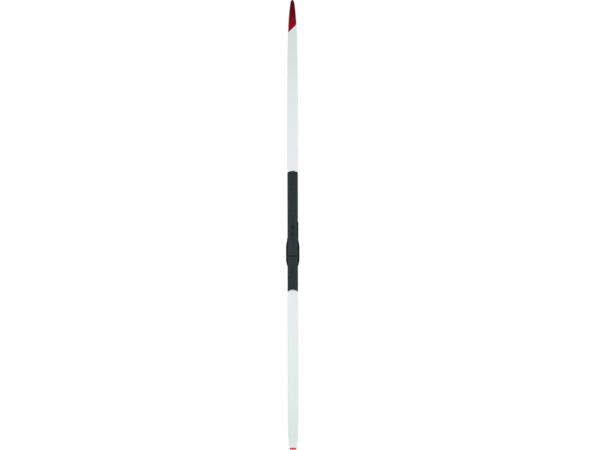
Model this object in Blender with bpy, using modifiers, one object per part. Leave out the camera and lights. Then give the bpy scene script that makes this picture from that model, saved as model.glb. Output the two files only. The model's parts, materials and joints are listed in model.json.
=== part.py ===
"""A cross country track ski with its long binding plate, lying on its base.

Metres, +Z up, the tip towards +Y and the skier's right towards +X. The origin is on the ground
under mid-length. Every layer of the ski is lofted along the same lengthwise lines (outline,
thickness and base height), with a gap of GAP between pieces that touch.
"""

import bisect
import math

import bmesh
import bpy

MM = 0.001
GAP = 0.3 * MM

# Length, side view
TIP_Y = 950 * MM
TAIL_Y = -950 * MM
FRONT_CONTACT = (655 * MM, 725 * MM)
REAR_CONTACT = (-885 * MM, -845 * MM)
CAMBER = 20 * MM
TIP_RISE = 52 * MM
TIP_POWER = 2.3
TAIL_RISE = 9 * MM

# Half width against length
OUTLINE = [
    (-950 * MM, 13.8 * MM),
    (-935 * MM, 15.9 * MM),
    (-918 * MM, 17.9 * MM),
    (-893 * MM, 19.9 * MM),
    (-859 * MM, 21.2 * MM),
    (-800 * MM, 21.9 * MM),
    (-500 * MM, 22.3 * MM),
    (-350 * MM, 22.5 * MM),
    (-200 * MM, 22.1 * MM),
    (60 * MM, 22.3 * MM),
    (330 * MM, 22.6 * MM),
    (525 * MM, 22.0 * MM),
    (631 * MM, 21.5 * MM),
    (715 * MM, 20.8 * MM),
    (787 * MM, 19.4 * MM),
    (849 * MM, 17.1 * MM),
    (887 * MM, 14.5 * MM),
    (912 * MM, 12.1 * MM),
    (929 * MM, 10.0 * MM),
    (950 * MM, 7.0 * MM),
]
NOSE_LENGTH = 14 * MM
NOSE_FLAT = 0.985

# Height of the ski's body, without the plate, against length
THICKNESS = [
    (-950 * MM, 6.4 * MM),
    (-885 * MM, 7.6 * MM),
    (-600 * MM, 13.0 * MM),
    (-300 * MM, 21.0 * MM),
    (-50 * MM, 25.5 * MM),
    (200 * MM, 22.5 * MM),
    (500 * MM, 14.0 * MM),
    (720 * MM, 9.2 * MM),
    (850 * MM, 7.4 * MM),
    (930 * MM, 6.4 * MM),
    (950 * MM, 4.6 * MM),
]

# Layers, from the snow up
BASE_SHEET = 1.3 * MM
BASE_BEVEL = 0.4 * MM
BASE_LAMINATE = 0.7 * MM
TOPSHEET = 1.0 * MM
UPPER_LAMINATE = 0.8 * MM
SIDEWALL = 2.2 * MM
SKIRT = 6.0 * MM
SIDEWALL_LEAST = 1.3 * MM
SHOULDER_RADIUS = 2.5 * MM
REINFORCEMENT = 1.2 * MM
CORE_FLOOR = BASE_SHEET + BASE_LAMINATE + 2 * GAP
CORE_LID = TOPSHEET + UPPER_LAMINATE + 2 * GAP
CORE_SIDE = SIDEWALL + GAP
CORE_CENTRE_HALF = 6.2 * MM

# Tracking groove in the running surface
GROOVE_DEPTH = 1.5 * MM
GROOVE_HALF = 4.0 * MM
GROOVE_SLOPE = 1.2 * MM
GROOVE_LEAST = 0.1 * MM
GROOVE_ENDS = [
    (-905 * MM, GROOVE_LEAST),
    (-870 * MM, GROOVE_DEPTH),
    (590 * MM, GROOVE_DEPTH),
    (650 * MM, GROOVE_LEAST),
]

# Where the layers end
NOSE_BACK = 925.5 * MM
TAIL_BLOCK_FRONT = -942 * MM
TAIL_TONGUE_FRONT = -930 * MM
CORE_ENDS = (-860 * MM, 800 * MM)
REINFORCEMENT_ENDS = (-290 * MM, 240 * MM)
COVER_SEAM_Y = 830.5 * MM
COVER_SEAM_SLOPE = 0.96
COVER_SEAM_FADE = 72 * MM

# Binding plate
PLATE_HALF = 22.2 * MM
PAD = 0.6 * MM
PAD_HALF = 19 * MM
PLATE_LIFT = PAD + 2 * GAP
PLATE_FRONT_Y = 220.8 * MM
PLATE_NOSE = 7.5 * MM
PLATE_REAR_Y = -280.5 * MM
PLATE_NOTCH = 8 * MM
PLATE_JOINT_Y = -165 * MM
FLANGE = 1.8 * MM
FLANGE_BEVEL = 0.6 * MM
RAIL_HEIGHT = 6.0 * MM
RAIL_NECK = 17.2 * MM
RAIL_HEAD = 18.6 * MM
RAIL_HEAD_LOW = 4.2 * MM
RAIL_BEVEL = 0.6 * MM
CHANNEL_HALF = 3.6 * MM
CHANNEL_FLOOR = 2.6 * MM
STEP = 0.2 * MM

# Pocket in the channel for the rack that the binding's lock drops into
POCKET = (-47 * MM, -4 * MM)
POCKET_HALF = 6.0 * MM
POCKET_FLOOR = 0.8 * MM
RACK_PITCH = 3.0 * MM
RACK_VALLEY = 2.2 * MM
RACK_TOOTH = 3.4 * MM
RACK_BRIDGE = 5.4 * MM
RACK_BRIDGE_Y = (-29 * MM, -20 * MM)

# Slot across the rails with a rubber bumper in it
SLOT = (-133.2 * MM, -128.8 * MM)
SLOT_FLOOR = 3.0 * MM
BUMPER_HEIGHT = 2.4 * MM
BUMPER_ROUND = 0.6 * MM

# Strip clipped over the right flange, which is thinner along it
STRIP = (-55.5 * MM, 13 * MM)
STRIP_SEAT = 0.9 * MM
STRIP_TOP = 2.0 * MM
STRIP_INNER = 17.7 * MM
STRIP_OUTER = 24.1 * MM
STRIP_BEVEL = 0.4 * MM

# Support under the heel, wider than the ski: how far its wings reach against length
HEEL_INNER = 22.8 * MM
WINGS = [
    (-173 * MM, 1.0 * MM),
    (-163 * MM, 3.0 * MM),
    (-154 * MM, 5.0 * MM),
    (-145 * MM, 5.8 * MM),
    (-93 * MM, 5.8 * MM),
    (-78 * MM, 4.2 * MM),
    (-70 * MM, 2.4 * MM),
    (-56 * MM, 1.0 * MM),
]
HEEL_ENDS = (WINGS[0][0], WINGS[-1][0])
HEEL_DROP = 2.6 * MM
HEEL_RAISE = 3.2 * MM
HEEL_ROUND = 1.2 * MM

# Finishes: colour, roughness
FINISHES = {
    "white_lacquer": ((0.76, 0.80, 0.80), 0.30),
    "red_lacquer": ((0.26, 0.005, 0.014), 0.32),
    "red_plastic": ((0.52, 0.02, 0.04), 0.40),
    "grey_plastic": ((0.030, 0.041, 0.043), 0.48),
    "black_plastic": ((0.008, 0.009, 0.010), 0.50),
    "black_rubber": ((0.012, 0.012, 0.013), 0.70),
    "graphite_base": ((0.015, 0.015, 0.017), 0.38),
    "sidewall_plastic": ((0.60, 0.63, 0.63), 0.45),
    "carbon_laminate": ((0.030, 0.030, 0.032), 0.35),
    "glass_laminate": ((0.45, 0.47, 0.38), 0.40),
    "light_wood": ((0.62, 0.47, 0.29), 0.65),
    "core_foam": ((0.70, 0.62, 0.42), 0.80),
}


def smooth_through(points):
    """A smooth function through (place, value) points that never overshoots between them."""
    places = [place for place, _ in points]
    values = [value for _, value in points]
    slopes = []
    for i in range(len(points) - 1):
        slopes.append((values[i + 1] - values[i]) / (places[i + 1] - places[i]))
    tangents = [slopes[0]]
    for before, after in zip(slopes, slopes[1:]):
        turns = before * after <= 0
        tangents.append(0.0 if turns else 2 * before * after / (before + after))
    tangents.append(slopes[-1])

    def value_at(place):
        place = min(max(place, places[0]), places[-1])
        i = min(bisect.bisect_right(places, place), len(places) - 1) - 1
        run = places[i + 1] - places[i]
        t = (place - places[i]) / run
        start = values[i] * (1 + 2 * t) * (1 - t) ** 2 + tangents[i] * run * t * (1 - t) ** 2
        end = values[i + 1] * t * t * (3 - 2 * t) - tangents[i + 1] * run * t * t * (1 - t)
        return start + end

    return value_at


outline = smooth_through(OUTLINE)
thickness = smooth_through(THICKNESS)
groove = smooth_through(GROOVE_ENDS)
wing_reach = smooth_through(WINGS)


def half_width(y):
    """Half the ski's width, with the tip rounded off over NOSE_LENGTH."""
    along = max(0.0, (y - TIP_Y + NOSE_LENGTH) / NOSE_LENGTH)
    return outline(y) * math.sqrt(1 - (NOSE_FLAT * min(along, 1.0)) ** 2)


def base_height(y):
    """Height of the running surface over the ground: camber, flat contacts, raised tip and tail."""
    if y > FRONT_CONTACT[1]:
        return TIP_RISE * ((y - FRONT_CONTACT[1]) / (TIP_Y - FRONT_CONTACT[1])) ** TIP_POWER
    if y < REAR_CONTACT[0]:
        return TAIL_RISE * ((REAR_CONTACT[0] - y) / (REAR_CONTACT[0] - TAIL_Y)) ** 2
    if REAR_CONTACT[1] < y < FRONT_CONTACT[0]:
        middle = (REAR_CONTACT[1] + FRONT_CONTACT[0]) / 2
        across = (y - middle) / (FRONT_CONTACT[0] - middle)
        return CAMBER * (1 - across * across) ** 2
    return 0.0


def spread(start, end, count):
    """Evenly spaced places from start to end, with count steps."""
    return [start + (end - start) * i / count for i in range(count + 1)]


def ski_stations():
    """The places along the ski where every layer has a cross-section."""
    places = spread(TAIL_Y, REAR_CONTACT[0], 6)
    places += spread(REAR_CONTACT[0], REAR_CONTACT[1], 2)
    places += spread(REAR_CONTACT[1], FRONT_CONTACT[0], 26)
    places += spread(FRONT_CONTACT[0], FRONT_CONTACT[1], 3)
    places += spread(FRONT_CONTACT[1], NOSE_BACK, 13)
    fades = spread(GROOVE_ENDS[0][0], GROOVE_ENDS[1][0], 4)
    fades += spread(GROOVE_ENDS[2][0], GROOVE_ENDS[3][0], 5)
    clear = [place for place in places if min(abs(place - fade) for fade in fades) > 4 * MM]
    return sorted(set(clear + fades + [*FRONT_CONTACT, *REAR_CONTACT]))


STATIONS = ski_stations()


def stations_between(start, end, extra=()):
    """start, end, any extra places, and the ski's own stations that lie clear between them."""
    own = [start, end, *extra]
    for place in STATIONS:
        if start < place < end and min(abs(place - other) for other in own) > 2 * MM:
            own.append(place)
    return sorted(own)


def no_shift(_y, _x):
    return 0.0


def loft(name, section, places, finish, shift=no_shift):
    """A closed body whose cross-section at each place is a ring of (x, height) points.

    shift(y, x) moves a point along the ski, which slants or curves the ends.
    """
    mesh = bpy.data.meshes.new(name)
    bm = bmesh.new()
    rings = []
    final = {}
    for place in places:
        ring = []
        for i, (x, z) in enumerate(section(place)):
            vert = bm.verts.new((x, place, z))
            moved = place + shift(place, x)
            new_x, new_z = section(moved)[i] if moved != place else (x, z)
            final[vert] = (new_x, moved, new_z + base_height(moved))
            ring.append(vert)
        rings.append(ring)
    for near, far in zip(rings, rings[1:]):
        for i in range(len(near)):
            j = (i + 1) % len(near)
            bm.faces.new((near[i], near[j], far[j], far[i]))
    caps = [bm.faces.new(rings[0][::-1]), bm.faces.new(rings[-1])]
    for cap in caps:
        cap.normal_update()
    bmesh.ops.triangulate(bm, faces=caps, ngon_method="BEAUTY")
    for vert, place in final.items():
        vert.co = place
    bmesh.ops.recalc_face_normals(bm, faces=bm.faces)
    bm.to_mesh(mesh)
    bm.free()
    return add_object(name, mesh, finish)


def add_object(name, mesh, finish):
    """Puts a mesh in the ski's collection, under the ski's empty, with its finish."""
    mesh.shade_smooth()
    mesh.set_sharp_from_angle(angle=math.radians(30))
    piece = bpy.data.objects.new(name, mesh)
    mesh.materials.append(make_finish(finish))
    ski_collection.objects.link(piece)
    piece.parent = ski_empty
    return piece


def make_finish(name):
    """The Principled material of one finish."""
    if name in bpy.data.materials:
        return bpy.data.materials[name]
    colour, roughness = FINISHES[name]
    material = bpy.data.materials.new(name)
    material.use_nodes = True
    shader = material.node_tree.nodes["Principled BSDF"]
    shader.inputs["Base Color"].default_value = (*colour, 1.0)
    shader.inputs["Roughness"].default_value = roughness
    shader.inputs["Metallic"].default_value = 0.0
    return material


def mirrored(right):
    """A line's right half, listed from the edge inwards, made whole from left to right."""
    return [(-x, z) for x, z in right] + right[::-1]


# Layers of the ski


def floor_line(y, half, height, step_out=0.0):
    """A line across the ski at this height, humped over the tracking groove."""
    hump = height + groove(y)
    inner = GROOVE_HALF + step_out
    return mirrored([(half, height), (inner + GROOVE_SLOPE, height), (inner, hump)])


def cap_line(y, inset, arc_steps):
    """The line over the ski's top and shoulders, this far inside its outer surface."""
    half = half_width(y) - inset
    top = thickness(y) - inset
    low = thickness(y) - skirt_depth(y)
    radius = min(SHOULDER_RADIUS - inset, 0.8 * half)
    right = [(half, low)]
    for turn in spread(0.0, math.pi / 2, arc_steps):
        right.append((half - radius + radius * math.cos(turn), top - radius + radius * math.sin(turn)))
    return mirrored(right)


def skirt_depth(y):
    """How far the topsheet reaches down the side: less where the ski is thin."""
    return min(SKIRT, thickness(y) - CORE_FLOOR - GAP - SIDEWALL_LEAST)


def running_base():
    def section(y):
        half = half_width(y)
        low = floor_line(y, half - BASE_BEVEL, 0.0)
        high = floor_line(y, half, BASE_SHEET)
        return low + [(half, BASE_BEVEL)] + high[::-1] + [(-half, BASE_BEVEL)]

    places = stations_between(TAIL_BLOCK_FRONT + GAP, NOSE_BACK - GAP)
    loft("running_base", section, places, "graphite_base")


def base_laminate():
    low = BASE_SHEET + GAP

    def section(y):
        half = half_width(y)
        return floor_line(y, half, low) + floor_line(y, half, low + BASE_LAMINATE)[::-1]

    places = stations_between(TAIL_BLOCK_FRONT + GAP, NOSE_BACK - GAP)
    loft("base_laminate", section, places, "glass_laminate")


def core_lid(y):
    """Height of the core's top, lower where the reinforcement lies on it."""
    inside = REINFORCEMENT_ENDS[0] - STEP < y < REINFORCEMENT_ENDS[1] + STEP
    recess = REINFORCEMENT + GAP if inside else 0.0
    return thickness(y) - CORE_LID - recess


def core_places():
    """Stations of the core pieces, with the two steps of the recess for the reinforcement."""
    steps = []
    for end, outward in zip(REINFORCEMENT_ENDS, (-1, 1)):
        steps += [end + outward * GAP / 2, end + outward * (GAP / 2 + STEP)]
    return stations_between(CORE_ENDS[0], CORE_ENDS[1], steps)


def core_centre():
    def section(y):
        low = floor_line(y, CORE_CENTRE_HALF, CORE_FLOOR)
        high = core_lid(y)
        return low + [(CORE_CENTRE_HALF, high), (-CORE_CENTRE_HALF, high)]

    loft("core_centre", section, core_places(), "core_foam")


def core_stringer(side, name):
    """One of the two wooden stringers beside the foam centre; side is -1 for left."""

    def section(y):
        inner = side * (CORE_CENTRE_HALF + GAP)
        outer = side * (half_width(y) - CORE_SIDE)
        high = core_lid(y)
        return [(inner, CORE_FLOOR), (outer, CORE_FLOOR), (outer, high), (inner, high)]

    loft(name, section, core_places(), "light_wood")


def binding_reinforcement():
    def section(y):
        half = half_width(y) - CORE_SIDE - GAP
        high = thickness(y) - CORE_LID
        low = high - REINFORCEMENT
        return [(-half, low), (half, low), (half, high), (-half, high)]

    loft("binding_reinforcement", section, stations_between(*REINFORCEMENT_ENDS), "carbon_laminate")


def end_spacer(name, start, end):
    """Solid plastic between the laminates, where the core has ended."""

    def section(y):
        half = half_width(y) - CORE_SIDE
        high = thickness(y) - CORE_LID
        return floor_line(y, half, CORE_FLOOR) + [(half, high), (-half, high)]

    loft(name, section, stations_between(start, end), "black_plastic")


def upper_laminate():
    outer = TOPSHEET + GAP

    def section(y):
        return cap_line(y, outer, 2) + cap_line(y, outer + UPPER_LAMINATE, 2)[::-1]

    places = stations_between(TAIL_BLOCK_FRONT + GAP, NOSE_BACK - GAP)
    loft("upper_laminate", section, places, "carbon_laminate")


def sidewall(side, name):
    def section(y):
        outer = side * half_width(y)
        inner = side * (half_width(y) - SIDEWALL)
        high = thickness(y) - skirt_depth(y) - GAP
        return [(inner, CORE_FLOOR), (outer, CORE_FLOOR), (outer, high), (inner, high)]

    places = stations_between(TAIL_BLOCK_FRONT + GAP, NOSE_BACK - GAP)
    loft(name, section, places, "sidewall_plastic")


def seam_slant(y, x):
    """Slants the ends of topsheet and tip cover, which meet on a diagonal seam."""
    near = max(0.0, 1 - abs(y - COVER_SEAM_Y) / COVER_SEAM_FADE)
    return COVER_SEAM_SLOPE * near * x


def topsheet():
    def section(y):
        return cap_line(y, 0.0, 4) + cap_line(y, TOPSHEET, 4)[::-1]

    places = stations_between(TAIL_BLOCK_FRONT + GAP, COVER_SEAM_Y - GAP)
    loft("topsheet", section, places, "white_lacquer", seam_slant)


def tip_cover():
    """The red cover of the tip: a thin cap from the diagonal seam, closed by a solid nose."""

    def section(y):
        outer = cap_line(y, 0.0, 4)
        inner = cap_line(y, TOPSHEET, 4)
        if y > NOSE_BACK:
            inner = [(x, 0.0) for x, _ in inner]
            outer[0] = (outer[0][0], 0.0)
            outer[-1] = (outer[-1][0], 0.0)
        return outer + inner[::-1]

    nose = [NOSE_BACK + STEP]
    for turn in spread(0.0, math.pi / 2, 7):
        nose.append(TIP_Y - NOSE_LENGTH * (1 - math.sin(turn)))
    places = stations_between(COVER_SEAM_Y + GAP, NOSE_BACK) + nose
    loft("tip_cover", section, places, "red_lacquer", seam_slant)


def tail_protector():
    """The block that closes the tail, with a tongue between the laminates."""

    def section(y):
        if y < TAIL_BLOCK_FRONT + STEP / 2:
            line = cap_line(y, 0.0, 4)
            line[0] = (line[0][0], 0.0)
            line[-1] = (line[-1][0], 0.0)
            return line
        half = half_width(y) - CORE_SIDE - GAP
        high = thickness(y) - CORE_LID
        count = len(cap_line(y, 0.0, 4)) - 2
        top = [(x, high) for x in spread(-half, half, count - 1)]
        return [(-half, CORE_FLOOR)] + top + [(half, CORE_FLOOR)]

    places = spread(TAIL_Y, TAIL_BLOCK_FRONT, 3)
    places += [TAIL_BLOCK_FRONT + STEP, TAIL_TONGUE_FRONT]
    loft("tail_protector", section, places, "red_plastic")


# Binding plate and what is on it


def over_topsheet(y, height):
    """A height measured from the topsheet, as a height in the cross-section."""
    return thickness(y) + height


def plate_pad(name, start, end):
    """The bonding pad between topsheet and plate."""

    def section(y):
        low = over_topsheet(y, GAP)
        high = low + PAD
        return [(-PAD_HALF, low), (PAD_HALF, low), (PAD_HALF, high), (-PAD_HALF, high)]

    loft(name, section, stations_between(start, end), "black_rubber")


def flange_line(height):
    """The flange's edge and top, in to the rail's neck."""
    edge = [(PLATE_HALF, 0.0), (PLATE_HALF, height - FLANGE_BEVEL), (PLATE_HALF - FLANGE_BEVEL, height)]
    return edge + [(RAIL_NECK, height)]


def rail_line(height, channel_half, channel_floor):
    """Neck, overhanging head and top of a rail, in to the channel's floor."""
    head_low = min(RAIL_HEAD_LOW, height - RAIL_BEVEL - STEP)
    head = RAIL_HEAD if height > RAIL_HEAD_LOW else RAIL_NECK + STEP
    return [
        (RAIL_NECK, head_low - STEP),
        (head, head_low),
        (head, height - RAIL_BEVEL),
        (head - RAIL_BEVEL, height),
        ((head + channel_half) / 2, height),
        (channel_half + RAIL_BEVEL, height),
        (channel_half, height - RAIL_BEVEL),
        (channel_half, channel_floor),
    ]


def plate_ring(y, rail_height, channel_half, channel_floor, right_flange=FLANGE):
    """The plate's whole cross-section, at its height on the ski."""
    rail = rail_line(rail_height, channel_half, channel_floor)
    right = flange_line(right_flange) + rail
    left = [(-x, z) for x, z in flange_line(FLANGE) + rail]
    under = [(x, 0.0) for x in (-18 * MM, -11 * MM, -4 * MM, 4 * MM, 11 * MM, 18 * MM)]
    ring = left + right[::-1] + under[::-1]
    lift = over_topsheet(y, PLATE_LIFT)
    return [(x, z + lift) for x, z in ring]


def within(y, ends):
    return ends[0] < y < ends[1]


def plate_front():
    """The long front plate: rails, channel, lock pocket, bumper slot and seat for the strip."""
    front_chamfer = 6 * MM
    front_height = 4.6 * MM
    lap = STEP / 2

    def section(y):
        height = RAIL_HEIGHT
        if within(y, SLOT):
            height = SLOT_FLOOR
        if y > PLATE_FRONT_Y - front_chamfer:
            along = min(1.0, (y - PLATE_FRONT_Y + front_chamfer) / front_chamfer)
            height = RAIL_HEIGHT + (front_height - RAIL_HEIGHT) * along
        pocket = within(y, POCKET)
        half = POCKET_HALF if pocket else CHANNEL_HALF
        floor = POCKET_FLOOR if pocket else CHANNEL_FLOOR
        return plate_ring(y, height, half, floor, STRIP_SEAT if within(y, STRIP) else FLANGE)

    def rounded_front(y, x):
        near = max(0.0, 1 - (PLATE_FRONT_Y - y) / (2 * front_chamfer))
        return near * PLATE_NOSE * (1 - (x / PLATE_HALF) ** 2)

    steps = [PLATE_FRONT_Y - front_chamfer, PLATE_FRONT_Y - 2 * front_chamfer]
    for ends in (SLOT, POCKET, STRIP):
        for end in ends:
            steps += [end - lap, end + lap]
    start = PLATE_JOINT_Y + GAP
    places = stations_between(start, PLATE_FRONT_Y, steps)
    loft("plate_front", section, places, "grey_plastic", rounded_front)


def plate_rear():
    """The short rear plate, notched where the topsheet rises behind it."""

    def section(y):
        return plate_ring(y, RAIL_HEIGHT, CHANNEL_HALF, CHANNEL_FLOOR)

    def notched_rear(y, x):
        near = max(0.0, 1 - (y - PLATE_REAR_Y) / (3 * PLATE_NOTCH))
        return near * PLATE_NOTCH * (1 - (x / PLATE_HALF) ** 2)

    places = stations_between(PLATE_REAR_Y, PLATE_JOINT_Y, [PLATE_REAR_Y + 3 * PLATE_NOTCH])
    loft("plate_rear", section, places, "grey_plastic", notched_rear)


def position_rack():
    """The toothed rack in the pocket, with a raised bridge across its middle."""
    half = POCKET_HALF - GAP
    low = POCKET_FLOOR + GAP
    start = POCKET[0] + GAP + STEP
    end = POCKET[1] - GAP - STEP

    def height(y):
        if within(y, RACK_BRIDGE_Y):
            return RACK_BRIDGE
        tooth = math.floor((y - start) / (RACK_PITCH / 2)) % 2
        return RACK_TOOTH if tooth else RACK_VALLEY

    def section(y):
        lift = over_topsheet(y, PLATE_LIFT)
        top = height(y) + lift
        chamfer = 0.5 * MM
        ring = [(half, low + lift), (half, top - chamfer), (half - chamfer, top)]
        return mirrored(ring)

    places = [start]
    pitch_edges = int((end - start) / (RACK_PITCH / 2))
    for i in range(1, pitch_edges + 1):
        edge = start + i * RACK_PITCH / 2
        if not RACK_BRIDGE_Y[0] - MM < edge < RACK_BRIDGE_Y[1] + MM and edge < end - MM:
            places += [edge - STEP / 2, edge + STEP / 2]
    for edge in RACK_BRIDGE_Y:
        places += [edge - STEP / 2, edge + STEP / 2]
    loft("position_rack", section, sorted(places + [end]), "grey_plastic")


def heel_bumper():
    """The rubber bar in the slot across the rails."""
    middle = (SLOT[0] + SLOT[1]) / 2
    depth = SLOT[1] - SLOT[0] - 2 * (GAP + STEP)
    bpy.ops.mesh.primitive_cube_add(size=1.0)
    cube = bpy.context.object
    mesh = cube.data
    bpy.data.objects.remove(cube)
    for vert in mesh.vertices:
        vert.co.x *= 2 * RAIL_NECK
        vert.co.y *= depth
        vert.co.z *= BUMPER_HEIGHT
    bumper = add_object("heel_bumper", mesh, "black_rubber")
    lift = base_height(middle) + over_topsheet(middle, PLATE_LIFT) + SLOT_FLOOR
    bumper.location = (0.0, middle, lift + GAP + BUMPER_HEIGHT / 2)
    bevel = bumper.modifiers.new("rounding", "BEVEL")
    bevel.width = BUMPER_ROUND
    bevel.segments = 2


def position_strip():
    """The strip clipped over the right flange, with a lip down its edge."""
    lip = PLATE_HALF + GAP

    def section(y):
        low = over_topsheet(y, PLATE_LIFT)
        seat = low + STRIP_SEAT + GAP
        high = low + STRIP_TOP
        return [
            (STRIP_INNER, seat),
            (lip, seat),
            (lip, low),
            (STRIP_OUTER, low),
            (STRIP_OUTER, high - STRIP_BEVEL),
            (STRIP_OUTER - STRIP_BEVEL, high),
            (STRIP_INNER, high),
        ]

    places = stations_between(STRIP[0] + GAP + STEP, STRIP[1] - GAP - STEP)
    loft("position_strip", section, places, "black_plastic")


def heel_support():
    """The tray under the plate at the heel, whose wings stand out beside the ski."""

    def section(y):
        outer = HEEL_INNER + wing_reach(y)
        soft = min(HEEL_ROUND, wing_reach(y) / 2)
        inner = HEEL_INNER - GAP
        right = [
            (inner, GAP),
            (inner, -HEEL_DROP),
            (outer - soft, -HEEL_DROP),
            (outer, soft - HEEL_DROP),
            (outer, HEEL_RAISE - soft),
            (outer - soft, HEEL_RAISE),
            (HEEL_INNER, HEEL_RAISE),
            (HEEL_INNER, GAP + PAD),
        ]
        left = [(-x, z) for x, z in right]
        lift = over_topsheet(y, 0.0)
        return [(x, z + lift) for x, z in right + left[::-1]]

    places = [WINGS[0][0]]
    for (near, _), (far, _) in zip(WINGS, WINGS[1:]):
        places += spread(near, far, 2)[1:]
    loft("heel_support", section, places, "black_plastic")


def build_ski():
    running_base()
    base_laminate()
    core_centre()
    core_stringer(-1, "core_stringer_left")
    core_stringer(1, "core_stringer_right")
    binding_reinforcement()
    end_spacer("tip_spacer", CORE_ENDS[1] + GAP, NOSE_BACK - GAP)
    end_spacer("tail_spacer", TAIL_TONGUE_FRONT + GAP, CORE_ENDS[0] - GAP)
    upper_laminate()
    sidewall(-1, "sidewall_left")
    sidewall(1, "sidewall_right")
    topsheet()
    tip_cover()
    tail_protector()


def build_plate():
    plate_pad("plate_pad_front", HEEL_ENDS[1] + GAP, PLATE_FRONT_Y)
    plate_pad("plate_pad_rear", PLATE_REAR_Y + PLATE_NOTCH, HEEL_ENDS[0] - GAP)
    heel_support()
    plate_front()
    plate_rear()
    position_rack()
    heel_bumper()
    position_strip()


for leftover in list(bpy.data.objects):
    bpy.data.objects.remove(leftover)
ski_collection = bpy.data.collections.new("cross_country_ski")
bpy.context.scene.collection.children.link(ski_collection)
ski_empty = bpy.data.objects.new("ski", None)
ski_collection.objects.link(ski_empty)
build_ski()
build_plate()
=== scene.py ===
"""The looks of the cross country ski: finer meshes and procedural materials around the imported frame.

Metres, +Z up, the tip towards +Y. The fine pieces are lofted along lines that are read from the
frame's own nodes: half width, running surface, top and skirt of the ski.
"""

import bisect
import json
import math

import bmesh
import bpy
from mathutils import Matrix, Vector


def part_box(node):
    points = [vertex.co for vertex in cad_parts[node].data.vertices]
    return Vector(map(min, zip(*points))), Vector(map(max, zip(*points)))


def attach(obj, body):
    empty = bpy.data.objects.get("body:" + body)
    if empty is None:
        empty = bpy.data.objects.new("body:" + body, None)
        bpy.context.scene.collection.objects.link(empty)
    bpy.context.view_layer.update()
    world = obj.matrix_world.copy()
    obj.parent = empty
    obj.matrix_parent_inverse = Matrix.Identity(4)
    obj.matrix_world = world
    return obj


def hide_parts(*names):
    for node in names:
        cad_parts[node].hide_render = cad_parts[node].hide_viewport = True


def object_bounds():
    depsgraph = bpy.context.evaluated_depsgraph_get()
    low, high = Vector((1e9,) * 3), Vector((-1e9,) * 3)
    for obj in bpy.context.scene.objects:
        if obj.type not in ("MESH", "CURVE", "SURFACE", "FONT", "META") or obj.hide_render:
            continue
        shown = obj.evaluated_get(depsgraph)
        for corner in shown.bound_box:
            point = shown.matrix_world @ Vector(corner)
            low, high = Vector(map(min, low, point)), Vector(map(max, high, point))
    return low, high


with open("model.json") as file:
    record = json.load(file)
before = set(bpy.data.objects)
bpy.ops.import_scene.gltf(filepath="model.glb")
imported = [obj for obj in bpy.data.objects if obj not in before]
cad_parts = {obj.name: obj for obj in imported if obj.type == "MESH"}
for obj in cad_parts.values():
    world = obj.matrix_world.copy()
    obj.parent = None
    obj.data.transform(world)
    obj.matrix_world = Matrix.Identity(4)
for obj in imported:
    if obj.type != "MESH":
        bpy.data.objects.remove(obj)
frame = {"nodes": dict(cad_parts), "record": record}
cad_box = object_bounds()

MM = 0.001
GAP = 0.3 * MM
FINE_STEP = 5 * MM

# Sections of the ski's body
TOPSHEET = 1.0 * MM
SHOULDER_RADIUS = 2.5 * MM
BASE_SHEET = 1.3 * MM
GROOVE_HALF = 4.0 * MM
GROOVE_SLOPE = 1.2 * MM

# Diagonal seam between topsheet and tip cover
SEAM_Y = 830.5 * MM
SEAM_SLOPE = 0.96
SEAM_FADE = 72 * MM
SEAM_LINE_NEAR = (-5.2 * MM, -4.4 * MM)
SEAM_LINE_FAR = (-1.4 * MM, -0.8 * MM)

# Rounded ends of the ski: a superellipse that stops just short of a point
ROLL_SHARE = 0.98
NOSE_ROLL = 4 * MM
NOSE_ROLL_DEPTH = 1.5 * MM
TAIL_ROLL = 3 * MM
TAIL_ROLL_DEPTH = 1.6 * MM
TONGUE_INSET = 3 * MM
TONGUE_FLOOR = 2.9 * MM
TONGUE_TOP = 2.7 * MM

# Sections of the plate, over its underside
PLATE_LIFT = 1.2 * MM
FLANGE = 1.8 * MM
RAIL_HEIGHT = 6.0 * MM
RAIL_NECK = 17.2 * MM
RAIL_HEAD = 18.6 * MM
RAIL_HEAD_LOW = 4.2 * MM
CHANNEL_HALF = 3.6 * MM
CHANNEL_FLOOR = 2.6 * MM
POCKET_FLOOR = 0.8 * MM
POCKET_HALF = 6.0 * MM
SLOT_FLOOR = 3.0 * MM
STRIP_SEAT = 0.9 * MM
STRIP_TOP = 2.0 * MM
STRIP_INNER = 17.7 * MM
PLATE_NOSE = 7.5 * MM
PLATE_NOTCH = 8 * MM
NOSE_CHAMFER = 6 * MM
NOSE_DROP = 1.4 * MM
EDGE_LAP = 0.5 * MM
LET_IN_ROOM = 0.5 * MM
BRIDGE_ENDS = (-29 * MM, -20 * MM)
HOLLOW_UNDER = [x * MM for x in (17, 11, 4, -4, -11, -17)]
HOLLOW_RISE = 0.05 * MM

# Meshes
SHARP_ANGLE = math.radians(40)
SHOULDER_STEPS = 8
TOP_SHARES = (0.75, 0.5, 0.25)

# Camera and light
LENS = 200.0
SENSOR_WIDTH = 36.0
CLIP_END = 100.0
IMAGE_SIZE = (610, 450)
FRAME_PER_SKI = 450 / 449
BESIDE_SKI = 51.9 * MM
SKI_LEAN = math.radians(0.09)
FLOOR_SIZE = 60
FLOOR_GLOW = 0.84
SKY_SIDES = (0.3, 0.8)
SKY_HORIZON = (0.25, 0.45)
SKY_STRENGTH = (0.02, 0.95)
BOUNCE_STRENGTH = 0.4
BOUNCE_BELOW = -0.08
SOFTBOX_PLACE = (1.45, 1.75)
SOFTBOX_SIZE = (1.1, 1.1)
SOFTBOX_POWER = 28.0


# Lines along the ski


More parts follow.
